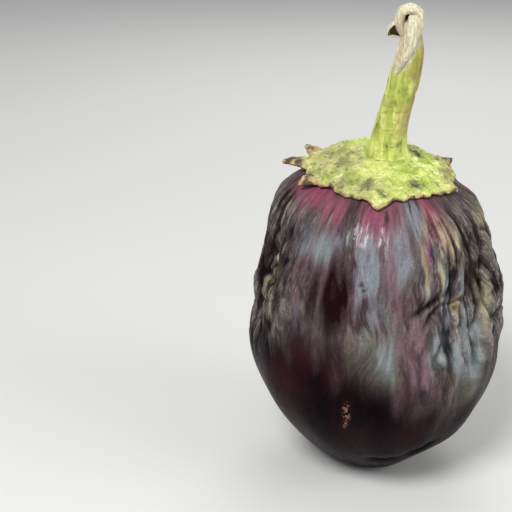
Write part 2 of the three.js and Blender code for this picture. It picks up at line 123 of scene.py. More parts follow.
# Patches of colour on the skin: degrees round, height, half width, half height (millimetres) and strength.
PATCHES = {
    # Blue-grey patches: partly the skin's own bloom, partly painted reflection of the soft lights.
    "slate": (
        (-102, 95, 5.5, 12, 1.2), (-98, 84, 4.5, 9, 0.9), (-117, 109, 5, 4, 0.9),
        (-75, 115, 5, 5, 1.9), (-84, 101, 4.5, 10, 1.1), (-74, 94, 3.5, 8, 0.6), (-57, 70, 6, 9, 1.5),
        (-50, 63, 6, 7, 0.9), (-60, 80, 3, 6, 0.9), (-50, 76, 5, 8, 0.9), (-137, 104, 5, 5, 0.9),
        (-130, 74, 3, 9, 0.6), (-145, 96, 4, 7, 0.5), (-10, 72, 13, 15, 0.8), (4, 88, 10, 18, 0.7),
        (60, 78, 14, 20, 0.9), (118, 90, 12, 18, 0.9), (150, 76, 8, 14, 0.7),
    ),
    # Blue-green patches: partly the skin's own bloom, partly painted reflection of the soft lights.
    "teal": (
        (-61.7, 94, 3, 7, 0.9), (-53, 91, 3, 6, 0.8), (-66.8, 70.5, 3.4, 8, 2),
        (-63.4, 79.5, 2.2, 6, 1.1), (-47.5, 58, 6, 6, 1.5), (-125, 104, 4, 5, 0.9),
        (-57, 63, 5, 7, 0.8), (-50, 68, 6, 8, 0.9), (-91, 67, 3.6, 8, 0.9), (-99, 97, 2.5, 7, 0.5),
        (-112, 108, 3, 4, 0.4), (50, 92, 6, 10, 0.5),
    ),
    "olive": (
        (-99, 72, 8, 13, 1.1), (-92, 63, 6, 9, 1.2), (-150, 73, 9, 8, 1.5), (-158, 92, 9, 14, 0.4),
        (-128, 82, 4, 10, 0.5), (-52, 48, 12, 6, 1), (-38, 84, 7, 14, 0.9), (-75, 84, 4, 5, 0.6),
        (-6, 103, 12, 10, 1), (-22, 92, 8, 12, 0.7), (-174, 108, 8, 5, 0.9), (40, 94, 16, 18, 0.8),
        (92, 88, 14, 20, 0.8), (136, 100, 10, 12, 0.8),
    ),
    "rosy": (
        (-97, 115, 10, 8, 1.5), (-61, 113, 6, 8, 2), (-67, 106, 2, 8, 0.9), (-145, 117, 26, 4.5, 1.1),
        (-118, 116, 12, 5, 1), (-88, 105, 2, 8, 0.5), (12, 115, 14, 4, 0.8), (80, 115, 30, 5, 0.9),
        (142, 115, 18, 5, 0.9),
    ),
    "mauve": (
        (-93, 99, 3, 14, 0.9), (-125, 92, 2.6, 12, 0.6), (-80, 74, 6, 12, 1.1), (-76, 60, 5, 10, 1),
        (-88, 86, 3, 9, 0.9), (-70, 50, 6, 7, 0.7), (-134, 56, 8, 6, 0.5), (-84, 108, 6, 5, 0.7),
        (-108, 78, 3, 8, 0.5), (-70, 80, 4, 7, 0.6), (30, 80, 10, 16, 0.6), (100, 70, 14, 14, 0.6),
    ),
    "maroon": (
        (-114.5, 88, 4.8, 17, 1.7), (-112, 66, 5, 12, 1.1), (-125, 88, 2.8, 14, 1.2),
        (-150, 94, 9, 12, 1.3), (-168, 90, 9, 12, 1.2), (-143, 84, 4, 12, 1.2), (-128, 66, 6, 12, 1.1),
        (-138, 52, 9, 10, 0.9), (-148, 42, 12, 12, 0.9), (-100, 30, 10, 8, 0.5), (-75, 33, 12, 9, 0.6),
        (-84, 54, 5, 8, 0.6), (-30, 50, 9, 9, 0.8), (-47, 92, 2.6, 9, 1.2), (-41, 90, 3, 11, 1.1),
        (-70, 97, 1.5, 6, 0.5), (-63, 74, 1.2, 6, 0.5), (90, 50, 18, 12, 0.6),
    ),
    "violet": (
        (-66.5, 101, 1.2, 6, 1.5), (-63.8, 70, 1.1, 6, 1), (-57, 90, 0.8, 5, 0.5),
        (-160, 105, 3, 4, 1), (-152, 108, 3, 2, 0.7), (-50, 82, 0.8, 5, 0.5), (-138, 105, 3, 4, 0.8),
    ),
    # Pale patches of the skin; the two small, strong ones on the left near the pricks are painted glints.
    "cream": (
        (-163, 109, 3, 3, 1.2), (-159, 95.5, 2.2, 2, 1.3), (-158, 85, 4, 7, 0.45),
        (-151, 80, 3, 6, 0.5), (-22, 107, 5, 4, 0.6), (-8, 107, 10, 5, 0.6), (-38, 96, 3, 5, 0.6),
        (-36, 82, 3, 7, 0.7), (-57, 110, 4, 5, 0.6), (-68, 112, 2, 5, 0.5), (96, 92, 5, 8, 0.6),
        (46, 104, 6, 5, 0.6),
    ),
    "amber": (
        (-72, 99, 1.8, 8, 1), (-64.2, 97, 1.2, 7, 1.6), (-56.3, 84, 1.3, 3.6, 1.8),
        (-41.5, 77, 2.6, 6, 1.2), (-51, 104, 4.2, 4.5, 1.7), (-163, 107, 1.5, 3, 0.8),
        (-78, 91, 1.5, 5, 0.4), (70, 98, 4, 6, 0.6),
    ),
}

# Scuffs where the skin has flaked: degrees round, height and half width.
SCUFFS = (
    (-109, 35, 0.7), (-108.2, 37.5, 0.8), (-107.4, 41, 1.1), (-107.6, 44, 1), (-106.6, 46.5, 0.7),
    (-102.4, 95.4, 0.7), (-90, 86.5, 0.6), (-92, 86, 0.5), (-99, 89, 0.4), (-80.5, 104, 0.5),
    (-82, 105.5, 0.5),
)

# Where the upper, faded skin gives way to the dark lower skin: degrees round and height.
DARK_LINE = (
    (-180, 68), (-150, 69), (-130, 69), (-110, 59), (-90, 53), (-75, 48), (-60, 43), (-45, 42),
    (-30, 54), (-10, 58), (20, 48), (50, 60), (85, 50), (120, 62), (150, 56), (180, 68),
)

# Points of the calyx: degrees round, how far the tip stands out, half width in degrees and how far it lifts.
LOBES = (
    (-98, 3.2, 17, 0.4), (-62, -1.4, 16, 0.3), (-25, 2, 9, 0.8), (24, 3.2, 12, 3.6),
    (84, 4.8, 17, 0.8), (144, 3.6, 12, 6.4), (172, 5, 8, 6), (-162, 4, 9, 2.4), (-137, -0.8, 16, 0.5),
)

# Dark oval spots of the calyx: place in plan, half length, half width, turn in degrees and strength.
CALYX_SPOTS = (
    (11.8, -2.4, 3.8, 2, -18, 1.2), (15.6, -3.4, 1.8, 1, -30, 0.9), (-5.4, -10.5, 1.5, 1, 20, 0.7),
    (-2.6, -13.4, 1, 0.7, -15, 0.6), (10, -21.6, 3, 2.2, 10, 0.85), (13.6, -20.8, 1.6, 0.7, 60, 0.8),
    (-10.5, -7, 2.6, 1.1, 8, 0.6), (-14.5, -3, 2.2, 1, -10, 0.6), (-7.4, -23.4, 3, 1.9, 20, 0.6),
    (-2.4, -26.8, 2.2, 1.2, -15, 0.8), (-21, -1, 1.8, 0.9, 5, 0.6), (18, -12, 1.6, 0.8, -30, 0.5),
    (19, -17, 1.2, 1, 0, 0.6), (-14, 12, 3, 1.3, 40, 0.7), (6, 17, 3.2, 1.5, -10, 0.7),
    (22, 5, 2, 1, 70, 0.6), (-2, 24, 2.4, 1.4, 30, 0.6),
)

# Dull, tan places of the calyx, partly its own dull colour and partly painted shade on its left and back:
# place in plan and half sizes.
CALYX_TANS = (
    (-20, -5, 9, 9), (-15, -12, 8, 5), (-18, -20, 7, 4), (-20, 10, 7, 7), (24, -6, 3, 13),
    (-8, -24, 6, 4), (5, 22, 9, 4), (16, 16, 4, 6), (-11, -3, 4, 3),
)

# The stalk's centre line with its radius at each point, from the foot up.
STALK = (
    ((1.6, -6.6, 129.6), 7.9), ((1.5, -6.9, 132), 7), ((1.4, -7.4, 135), 6.6), ((1.9, -8.8, 141), 5.9),
    ((3.6, -11, 151), 5.3), ((5.6, -14, 162), 5.2), ((6.6, -16.3, 170), 4.8), ((6.8, -17.6, 174.5), 4),
    ((6.2, -18.4, 178), 3.6), ((6, -18.8, 180.4), 3.3),
)

# The torn end: each piece's centre line, half width and half thickness.
CURL = {
    "path": (
        (7.8, -18.6, 176.5), (9, -19.4, 181), (8.9, -20, 185), (6.2, -20.2, 186.9), (3.2, -20, 186.1),
        (2.2, -19.6, 183.4), (2.8, -19, 180.4), (4.6, -18.4, 177),
    ),
    "wide": (2.4, 3, 3.2, 3.3, 3.2, 2.9, 2.6, 2),
    "thick": (1.2, 1.3, 1.45, 1.5, 1.6, 1.75, 1.8, 1.6),
}
FLAP = {
    "path": (
        (2.6, -18.8, 182.4), (0, -18, 181.2), (-1.5, -17.2, 179), (-1.3, -16.6, 177.4),
        (0.6, -16.8, 177.3), (3.6, -17.4, 176.6),
    ),
    "wide": (1.2, 1.7, 1.8, 1.6, 1.5, 1.2),
    "thick": (0.5, 0.5, 0.5, 0.5, 0.55, 0.6),
}
STRIP = {
    "path": (
        (7.8, -20, 185.4), (7, -22.2, 183.4), (6.8, -22.9, 180.3), (6.4, -22.5, 176.6),
        (6.2, -21.8, 173), (4.4, -20.9, 169.8), (2.9, -19.4, 166.4), (2.3, -18.3, 164.2),
    ),
    "wide": (2.2, 2.5, 2.3, 1.8, 1.4, 1.3, 0.9, 0.4),
    "thick": (1.2, 1.2, 1, 0.9, 0.8, 0.7, 0.6, 0.4),
}

# Lumps that close the curl and the flap from behind: middle, half sizes and the finish that shows. The one
# that shows the hollow is painted nearly black as the shade inside the curl.
LUMPS = (
    {"middle": (5.4, -19.2, 180.2), "size": (3.2, 2.5, 3.2), "shows": "dry"},
    {"middle": (5.4, -17.6, 183.2), "size": (3.4, 1.2, 3.4), "shows": "hollow"},
    {"middle": (1.2, -17, 179.6), "size": (2.6, 0.5, 2.5), "shows": "inside"},
)

# Dirty marks on the stalk: height, degrees round it, half height, half width in degrees and strength.
STALK_MARKS = (
    (152.2, 243, 1.2, 14, 0.9), (153.4, 300, 1, 10, 0.8), (136, 268, 1.7, 20, 1),
    (136.6, 302, 1.4, 18, 0.9), (143.5, 200, 3.5, 18, 0.9), (149, 225, 1, 8, 0.6),
    (158.4, 262, 0.9, 11, 0.6), (145, 280, 0.8, 10, 0.5), (162, 300, 1.2, 12, 0.5),
    (150, 40, 3, 20, 0.6), (140, 120, 3, 26, 0.7), (160, 150, 2, 16, 0.5),
)

# Where the stalk turns dry: degrees round it (right 0, back 90, left 180, front 270) and height.
DRY_BORDER = (
    (0, 173.5), (90, 171), (150, 167), (200, 163.5), (240, 163.5), (262, 166.5), (285, 172.5),
    (320, 174.5), (360, 173.5),
)

# Colours of small places: flaked skin, and the painted shade at the bottom of creases, on the calyx's
# underside and in the curl's hollow.
FLAKED, CREASE_SHADE_COLOUR, UNDERSIDE_SHADE_COLOUR, HOLLOW_SHADE_COLOUR = 0xB98676, 0x0A0607, 0x2E2216, 0x080604

# The soft lights: name, place, width of the disk and the setting that holds the power. All look at one point.
LIGHTS = (
    ("Key light", (-0.35, -0.6, 0.85), 0.4, "key_power"),
    ("Fill light", (0.75, -0.35, 0.5), 0.6, "fill_power"),
    ("Back light", (0.15, 0.75, 0.7), 0.6, "back_power"),
)
LIT_POINT = Vector((0, 0, 0.09))
FLOOR_HALF = 6.0
SKY_COLOUR = (0.9, 0.92, 0.95, 1)


def colour(hex_value):
    """The linear colour for a display colour such as 0x2b1522."""
    channels = [((hex_value >> shift) & 255) / 255 for shift in (16, 8, 0)]
    return tuple(c / 12.92 if c <= 0.04045 else ((c + 0.055) / 1.055) ** 2.4 for c in channels)


def a_length(name, description, millimetres):
    limits = {"min": 0, "unit": "LENGTH", "subtype": "DISTANCE", "precision": 5}
    return FloatProperty(name=name, description=description, default=millimetres * MM, **limits)


def a_number(name, description, default, **limits):
    return FloatProperty(name=name, description=description, default=default, **limits)


def a_count(name, description, default, low, high):
    return IntProperty(name=name, description=description, default=default, min=low, max=high)


def a_colour(name, description, hex_value):
    return FloatVectorProperty(
        name=name, description=description, default=colour(hex_value), size=3, min=0, max=1, subtype="COLOR"
    )


class FruitSettings(PropertyGroup):
    radius: a_length("Radius", "Half the fruit's greatest width", 50)
    widest_height: a_length("Widest height", "Height of the widest level above the floor", 58)
    upper_reach: a_length("Upper reach", "From the widest level to the top", 68)
    lower_reach: a_length("Lower reach", "From the widest level down to the end before it is flattened", 62.5)
    upper_power: a_number("Upper fullness", "How full the shoulders are", 2.45, min=1, max=6)
    lower_power: a_number("Lower fullness", "How full the lower half is", 1.85, min=1, max=6)
    foot_blend: a_length("Foot blend", "How softly the flat spot meets the round", 1.2)
    wrinkle: a_length("Wrinkles", "Height of the shrivelled skin's wrinkles", 1.5)
    columns: a_count("Columns", "Faces round the fruit", 480, 32, 600)
    rows: a_count("Rows", "Faces from bottom to top", 204, 16, 400)
    seed: a_count("Seed", "Which set of wrinkles is drawn", 11, 0, 9999)
    faded: a_colour("Faded skin", "Plum-brown of the shrivelled skin", 0x5E4850)
    # Slate and teal are partly the skin's bloom and partly painted reflection of the lights.
    slate: a_colour("Slate skin", "Blue-grey patches", 0x888A93)
    olive: a_colour("Olive skin", "Grey-green patches", 0x716E5F)
    rosy: a_colour("Rosy skin", "Magenta skin beside the calyx", 0x9C5068)
    mauve: a_colour("Mauve skin", "Pinkish-grey streaks", 0x846772)
    maroon: a_colour("Maroon skin", "Deep red patches", 0x1E080E)
    teal: a_colour("Teal skin", "Pale blue-green patches", 0x8C9698)
    violet: a_colour("Violet skin", "Small violet patches", 0x352F52)
    amber: a_colour("Amber skin", "Small warm, pale patches", 0xB8AA84)
    # Cream colours the pale patches and the painted highlight on the ridges.
    cream: a_colour("Cream skin", "Pale patches and ridges", 0xBBAE8E)
    dark: a_colour("Dark skin", "Nearly black skin of the lower half", 0x0A0407)
    gloss: a_number("Roughness", "Roughness of the smooth skin", 0.3, min=0, max=1, subtype="FACTOR")


class CalyxSettings(PropertyGroup):
    radius: a_length("Radius", "Mean radius of the rim in plan", 26.4)
    gap: a_length("Gap", "Space between the calyx and the fruit", 0.4)
    edge: a_length("Edge", "Thickness at the rim", 0.8)
    flesh: a_length("Flesh", "Extra thickness in the middle", 4.8)
    unevenness: a_length("Unevenness", "How much thicker it is at the back left than in front", 2.4)
    collar_radius: a_length("Collar radius", "Where the calyx meets the stem", 7.2)
    seat_height: a_length("Seat height", "Height of the stem's foot", 130.6)
    wart: a_length("Warts", "Height of the bumps on it", 0.5)
    columns: a_count("Columns", "Faces round the calyx", 480, 32, 600)
    rows: a_count("Rows", "Faces from the rim to the stem", 84, 8, 200)
    green: a_colour("Green", "Fresh green of the calyx", 0xA2B748)
    yellow: a_colour("Yellow", "Pale yellow-green on its bumps", 0xE8F086)
    # Pale is a painted highlight, laid as flecks along the fibres.
    pale: a_colour("Pale", "Nearly white fibres", 0xF6F8BC)
    olive: a_colour("Olive", "Dull places", 0xB5A878)
    spot: a_colour("Spots", "Grey-green spots", 0x505A38)
    dry: a_colour("Dry rim", "Tan of the dried rim", 0xBDA274)


class StemSettings(PropertyGroup):
    rib_height: a_length("Ribs", "Height of the lengthwise ribs", 0.3)
    sides: a_count("Sides", "Faces round the stalk", 96, 12, 200)
    steps: a_count("Steps", "Faces along the stalk", 220, 16, 400)
    green: a_colour("Green", "Fresh green of the stalk", 0xAFBE50)
    yellow: a_colour("Yellow", "Yellowed streaks", 0xE8F086)
    olive: a_colour("Olive", "Darker olive of the bent part", 0xA3A23A)
    brown: a_colour("Brown", "Brown blotches and edges", 0xA88A55)
    mark: a_colour("Marks", "Dirty green marks", 0x6F7838)
    cream: a_colour("Cream", "Dry fibre of the torn end", 0xF0E8C6)
    # The brown inside of the flap is partly its dry tissue and partly painted shade.
    inside: a_colour("Inside", "Brown inside of the torn flap", 0x4A3312)


class StageSettings(PropertyGroup):
    lens: a_number("Lens", "Focal length of the camera", 80, min=10, unit="CAMERA")
    camera_place: FloatVectorProperty(
        name="Camera",
        description="Where the camera stands",
        default=(-0.0473, -0.4129, 0.2542),
        size=3,
        unit="LENGTH",
        subtype="TRANSLATION",
    )
    camera_tilt: a_number("Tilt", "How far it looks down", math.radians(22), unit="ROTATION", subtype="ANGLE")
    floor: a_colour("Floor", "Plain pale floor", 0xD9D8D5)
    key_power: a_number("Key light", "Power of the soft light from above left", 9, min=0, unit="POWER")
    fill_power: a_number("Fill light", "Power of the soft light from the right", 3.2, min=0, unit="POWER")
    back_power: a_number("Back light", "Power of the soft light from behind", 3, min=0, unit="POWER")
    sky: a_number("Surroundings", "Brightness of the surroundings", 0.4, min=0)


# Rules of the shape. Places on the fruit are given in degrees round it and in millimetres of height.


def smooth(x, low, high):
    """0 up to low, 1 from high on, and an easy curve between."""
    t = np.clip((x - low) / (high - low), 0, 1)
    return t * t * (3 - 2 * t)


def degrees_between(a, b):
    return (a - b + 180) % 360 - 180


def soft_spot(across, up=0, power=1):
    """1 in the middle of a spot, falling off with the distance, which is counted in half widths."""
    return np.exp(-((across**2 + up**2) ** power))


def skin_spot(degrees, height, at, level, half_width, half_height, degree=BODY_DEGREE, power=1):
    """A soft spot of the skin; degree is how long one degree round the fruit is there, in millimetres."""
    across = degrees_between(degrees, at) * degree / half_width
    return soft_spot(across, (height - level) / half_height, power)


def strongest(masks):
    return np.maximum.reduce(list(masks))


def lattice(seed, cells_round, cell_height, degrees, height):
    """Smooth random values from 0 to 1 over the skin, that join up all the way round."""
    values = np.random.default_rng(seed).random((LATTICE_LEVELS, cells_round))
    u, v = (degrees % 360) / 360 * cells_round, (height + LATTICE_START) / cell_height
    i, j = np.floor(u).astype(int), np.floor(v).astype(int)
    onward, upward = smooth(u - i, 0, 1), smooth(v - j, 0, 1)

    def level(row):
        near, far = (values[row % LATTICE_LEVELS, (i + step) % cells_round] for step in (0, 1))
        return near * (1 - onward) + far * onward

    return level(j) * (1 - upward) + level(j + 1) * upward


def drift(amount, seed, cells_round, cell_height, degrees, height):
    """Smooth random values that stray to either side of 0, by half the amount at most."""
    return amount * (lattice(seed, cells_round, cell_height, degrees, height) - 0.5)


def ridges(seed, cells_round, cell_height, degrees, height, power=1):
    """Rounded ridges, 1 high, with sharp little valleys between them."""
    return np.abs(2 * lattice(seed, cells_round, cell_height, degrees, height) - 1) ** power


def from_crease(path, degrees, height):
    """Distance to a crease in millimetres, how far along it (0 to 1) and on which side of it (-1 or 1)."""
    best, along, side = np.full(degrees.shape, 1e9), np.zeros(degrees.shape), np.ones(degrees.shape)
    spans = [math.hypot((b[0] - a[0]) * CREASE_DEGREE, b[1] - a[1]) for a, b in zip(path, path[1:])]
    before = 0.0
    for a, b, span in zip(path, path[1:], spans):
        ax, ay = degrees_between(a[0], degrees) * CREASE_DEGREE, a[1] - height
        dx, dy = (b[0] - a[0]) * CREASE_DEGREE, b[1] - a[1]
        share = np.clip(-(ax * dx + ay * dy) / span**2, 0, 1)
        distance = np.hypot(ax + dx * share, ay + dy * share)
        near = distance < best
        best = np.where(near, distance, best)
        along = np.where(near, (before + span * share) / sum(spans), along)
        side = np.where(near, np.sign(ax * dy - ay * dx), side)
        before += span
    return best, along, side


def shrivel(degrees, height):
    """How much of the skin's shrivelling shows at a place, from 0 to 1."""
    upright = smooth(height, 46, 72) * (1 - smooth(height, 111, 119))
    sides = strongest(
        strength * (1 - smooth(np.abs(degrees_between(degrees, middle)), whole, reach))
        for middle, whole, reach, strength in SHRIVELLED_SIDES
    )
    return upright * np.maximum(sides, LEAST_SHRIVEL)


def broad_relief(degrees, height):
    """Flutes, swells and creases, as on the solids: the relief, and how deep in a crease a place is, which
    sets how much painted shade it gets.
    """
    a = np.radians(degrees)
    body = smooth(height, 6, 34) * (1 - smooth(height, 112, 121))
    flutes = 0.55 * np.cos(5 * a + 0.8) + 0.42 * np.cos(8 * a - 1.1 + height / 60)
    out = body * (flutes + 0.3 * np.cos(13 * a + 2 + np.sin(height / 22)))
    crown = 1 - smooth(height, 118, 126)
    for *spot, rise in SWELLS:
        out = out + crown * rise * skin_spot(degrees, height, *spot)
    sunk = np.zeros(degrees.shape)
    for path, depth, width, lip in CREASES:
        distance, along, side = from_crease(path, degrees, height)
        taper = np.sqrt(np.sin(math.pi * (0.04 + 0.92 * along)))
        raised = lip * side * soft_spot((distance - 2.6 * width) / (1.7 * width)) * np.sin(math.pi * along)
        out = out + taper * (raised - depth * soft_spot(distance / width))
        # Painted shade: the colour darkens towards the bottom of each crease.
        sunk = np.maximum(sunk, taper * min(1, depth / 1.6) * soft_spot(distance / (0.9 * width)))
    return out, sunk


def slanted(degrees, height):
    """The skin's wrinkles run down the fruit, and aslant on its right side: degrees counted along them."""
    lean = smooth(degrees_between(degrees, -60), 0, 40) * (1 - smooth(degrees_between(degrees, 40), 0, 40))
    return degrees + 0.55 * lean * (height - 88) + drift(7, 31, 22, 16, degrees, height)


def fine_relief(degrees, height, seed):
    """Wrinkles from broad to hair-fine, summed, each straying to either side of 0."""
    along = slanted(degrees, height)
    folds = ridges(seed, 64, 17, along, height, 0.75) - 0.5
    wrinkles = ridges(seed + 1, 130, 10, along, height, 0.8) - 0.5
    lines = ridges(seed + 2, 240, 7, along, height) - 0.5
    crumple = ridges(seed + 3, 90, 4.2, degrees, height) - 0.5
    return folds + 0.5 * wrinkles + 0.24 * lines + 0.26 * crumple


def crumpled(degrees, height, seed):
    """How strongly the skin is crumpled at a place, and the folds there."""
    share = strongest(depth * skin_spot(degrees, height, *spot) for *spot, depth in CRUMPLES)
    along = slanted(degrees, height) + drift(5, 32, 70, 6, degrees, height)
    folds = ridges(seed + 5, 76, 13, along, height, 0.7) - 0.5
    return share, 1.15 * folds + 0.5 * (ridges(seed + 6, 150, 7, along, height, 0.8) - 0.45)


class Skin:
    """The fruit's surface, in millimetres, with every rule that shapes it."""

    def __init__(self, settings):
        self.radius, self.widest = settings.radius / MM, settings.widest_height / MM
        self.upper, self.lower = settings.upper_reach / MM, settings.lower_reach / MM
        self.upper_power, self.lower_power = settings.upper_power, settings.lower_power
        self.blend = settings.foot_blend / MM

    def reach(self, latitude):
        power = np.where(latitude > 0, self.upper_power, self.lower_power)
        tall = np.where(latitude > 0, self.upper, self.lower)
        out, up = np.cos(latitude) / self.radius, np.abs(np.sin(latitude)) / tall
        return (out**power + up**power) ** (-1 / power)

    def settle(self, height):
        """Flattens what would lie under the floor, with a soft bend."""
        soft = (height + self.blend) ** 2 / (4 * self.blend)
        return np.where(height > self.blend, height, np.where(height < -self.blend, 0, soft))

    def point(self, degrees, latitude, lift):
        """x, y and z in a direction, that much above the plain body."""
        far = self.reach(latitude) + lift
        out, a = far * np.cos(latitude), np.radians(degrees)
        height = self.settle(self.widest + far * np.sin(latitude))
        return np.stack([out * np.cos(a), out * np.sin(a), height], -1)

    def height_of(self, latitude):
        return self.widest + self.reach(latitude) * np.sin(latitude)

    def over(self, x, y, lift):
        """A point that much above the skin, over a place in plan."""
        out = np.maximum(np.hypot(x, y), 1e-6)
        left = np.maximum(1 - (out / self.radius) ** self.upper_power, 0)
        level = self.upper * left ** (1 / self.upper_power)
        degrees, latitude = np.degrees(np.arctan2(y, x)), np.arctan2(level, out)
        relief, _ = broad_relief(degrees, self.height_of(latitude))
        return self.point(degrees, latitude, relief + lift)


def grid_mesh(name, points, ends):
    """A mesh of rings, each joined to the next. points is rings x columns x 3, in millimetres, and ends
    holds the two points that close the first and the last ring."""
    rows, columns = points.shape[:2]
    ring, following = np.arange(columns), (np.arange(columns) + 1) % columns
    starts = (np.arange(rows - 1) * columns)[:, None]
    corners = ring, following, following + columns, ring + columns
    last, first_end = (rows - 1) * columns, np.full(columns, rows * columns)
    faces = np.stack([starts + corner for corner in corners], -1).reshape(-1, 4).tolist()
    faces += np.stack([following, ring, first_end], -1).tolist()
    faces += np.stack([last + ring, last + following, first_end + 1], -1).tolist()
    mesh = bpy.data.meshes.new(name)
    mesh.from_pydata((np.vstack([points.reshape(-1, 3), ends]) * MM).tolist(), [], faces)
    mesh.shade_smooth()
    mesh.update()
    return mesh


def add_values(mesh, **layers):
    """Keeps numbers on the mesh for its material: each layer has one for every point, or one for all."""
    for name, values in layers.items():
        flat = np.ravel(values)
        whole = np.full(len(mesh.vertices), flat[-1], np.float32)
        whole[: flat.size] = flat
        mesh.attributes.new(name, "FLOAT", "POINT").data.foreach_set("value", whole)


def add_object(name, mesh):
    made = bpy.data.objects.new(name, mesh)
    bpy.context.scene.collection.objects.link(made)
    return made


def dress(piece, material, node):
    """Gives a finished piece its material and puts it in the place of a solid."""
    piece.data.materials.clear()
    piece.data.materials.append(material)
    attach(piece, "root")
    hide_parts(node)


# Parts that the materials share.

GRAIN_DEFAULTS = {"Scale": 100.0, "Detail": 3.0, "Bend": 0.0, "Low": 0.3, "High": 0.7}


class Nodes:
    """A node tree being built."""

    def __init__(self, tree, settings=None):
        self.tree, self.settings = tree, settings

    def node(self, kind, inputs=(), **values):
        """A new node with its values set and its inputs fed, in their order or by their names or numbers."""
        made = self.tree.nodes.new(kind)
        for key, value in values.items():
            setattr(made, key, value)
        for key, source in inputs.items() if isinstance(inputs, dict) else enumerate(inputs):
            self.join(source, made.inputs[key])
        return made

    def join(self, source, target):
        """Feeds a socket or a mask to the target, or sets it to a number, a colour or a named setting."""
        if isinstance(source, str):
            source = self.tint(**{source: 1})
        if isinstance(source, tuple) and len(target.default_value) == 4:
            source = (*source, 1)
        if isinstance(source, (int, float, tuple)):
            target.default_value = source
        else:
            self.tree.links.new(getattr(source, "socket", source), target)

    def tint(self, **shares):
        """A sum of the settings' colours, each times its share."""
        parts = [[share * c for c in getattr(self.settings, name)] for name, share in shares.items()]
        return tuple(sum(channel) for channel in zip(*parts))


def grain_group():
    """Soft noise cut to a mask between two levels, for streaks, fibres and blotches."""
    found = bpy.data.node_groups.get("Grain")
    if found:
        return found
    group = Nodes(bpy.data.node_groups.new("Grain", "ShaderNodeTree"))
    sockets = group.tree.interface
    sockets.new_socket("Vector", in_out="INPUT", socket_type="NodeSocketVector")
    for name, default in GRAIN_DEFAULTS.items():
        sockets.new_socket(name, in_out="INPUT", socket_type="NodeSocketFloat").default_value = default
    sockets.new_socket("Mask", in_out="OUTPUT", socket_type="NodeSocketFloat")
    vector, scale, detail, bend, low, high, _ = group.node("NodeGroupInput").outputs
    inputs = {"Vector": vector, "Scale": scale, "Detail": detail, "Distortion": bend}
    noise = group.node("ShaderNodeTexNoise", inputs).outputs["Fac"]
    inputs = {"Value": noise, "From Min": low, "From Max": high}
    cut = group.node("ShaderNodeMapRange", inputs, interpolation_type="SMOOTHSTEP")
    group.node("NodeGroupOutput", {"Mask": cut.outputs["Result"]})
    return group.tree


class Mask:
    """A number that changes over the surface. Sums and products of masks and plain numbers add Math nodes."""

    def __init__(self, paint, socket):
        self.paint, self.socket = paint, socket

    def __add__(self, other):
        return self.paint.math("ADD", self, other)

    def __sub__(self, other):
        return self.paint.math("SUBTRACT", self, other)

    def __rsub__(self, other):
        return self.paint.math("SUBTRACT", other, self)

    def __mul__(self, other):
        return self.paint.math("MULTIPLY", self, other)

    def held(self):
        """Keeps the last sum or product between 0 and 1."""
        self.socket.node.use_clamp = True
        return self


class Paint(Nodes):
    """A material being built: short ways to add the nodes that these finishes need."""

    def __init__(self, name, settings):
        self.material = bpy.data.materials.new(name)
        self.material.use_nodes = True
        super().__init__(self.material.node_tree, settings)
        self.shader = self.tree.nodes["Principled BSDF"]
        self.place = self.node("ShaderNodeTexCoord").outputs["Object"]

    def feed(self, **sources):
        """Feeds the shader's sockets, which are named with _ for a space."""
        for name, source in sources.items():
            self.join(source, self.shader.inputs[name.replace("_", " ")])

    def value(self, name):
        return Mask(self, self.node("ShaderNodeAttribute", attribute_name=name).outputs["Fac"])

    def math(self, operation, a, b):
        return Mask(self, self.node("ShaderNodeMath", (a, b), operation=operation).outputs[0])

    def grain(self, vector, scale, low, high, detail, bend=0.0):
        """The shared noise, drawn at a place and scale and cut between two levels."""
        inputs = {"Vector": vector, "Scale": scale, "Low": low, "High": high, "Detail": detail, "Bend": bend}
        return Mask(self, self.node("ShaderNodeGroup", inputs, node_tree=grain_group()).outputs["Mask"])

    def mix(self, share, a, b, blend="MIX"):
        """The colours a and b, mixed with that share of b: the Mix node's inputs 6 and 7, and output 2."""
        values = {"data_type": "RGBA", "blend_type": blend, "clamp_factor": True}
        return self.node("ShaderNodeMix", {0: share, 6: a, 7: b}, **values).outputs[2]

    def shades(self, share, name, low, high):
        """A setting's colour, from low times it where the mask is 0 to high times it where the mask is 1."""
        return self.mix(share, self.tint(**{name: low}), self.tint(**{name: high}))

    def layered(self, base, *layers):
        """The base colour with layers over it, each a mask, a colour and, unless plain, how it is laid."""
        for share, *over in layers:
            base = self.mix(share, base, *over)
        return base

    def stretched(self, x, y, z):
        """Object coordinates, stretched for a pattern that has a grain."""
        return self.node("ShaderNodeVectorMath", (self.place, (x, y, z)), operation="MULTIPLY").outputs[0]

    def along_the_wrinkles(self, stretch):
        """A place on a tube round the fruit's axis, counted along the wrinkles, so patterns run with them."""
        z = self.node("ShaderNodeSeparateXYZ", [self.place]).outputs["Z"]
        place = self.value("lean_x"), self.value("lean_y"), self.math("MULTIPLY", z, stretch)
        return self.node("ShaderNodeCombineXYZ", place).outputs[0]

    def bump(self, height, distance, strength):
        """Raises the surface by a mask; the distance is in millimetres."""
        inputs = {"Strength": strength, "Distance": distance * MM, "Height": height}
        made = self.node("ShaderNodeBump", inputs)
        self.feed(Normal=made.outputs["Normal"])


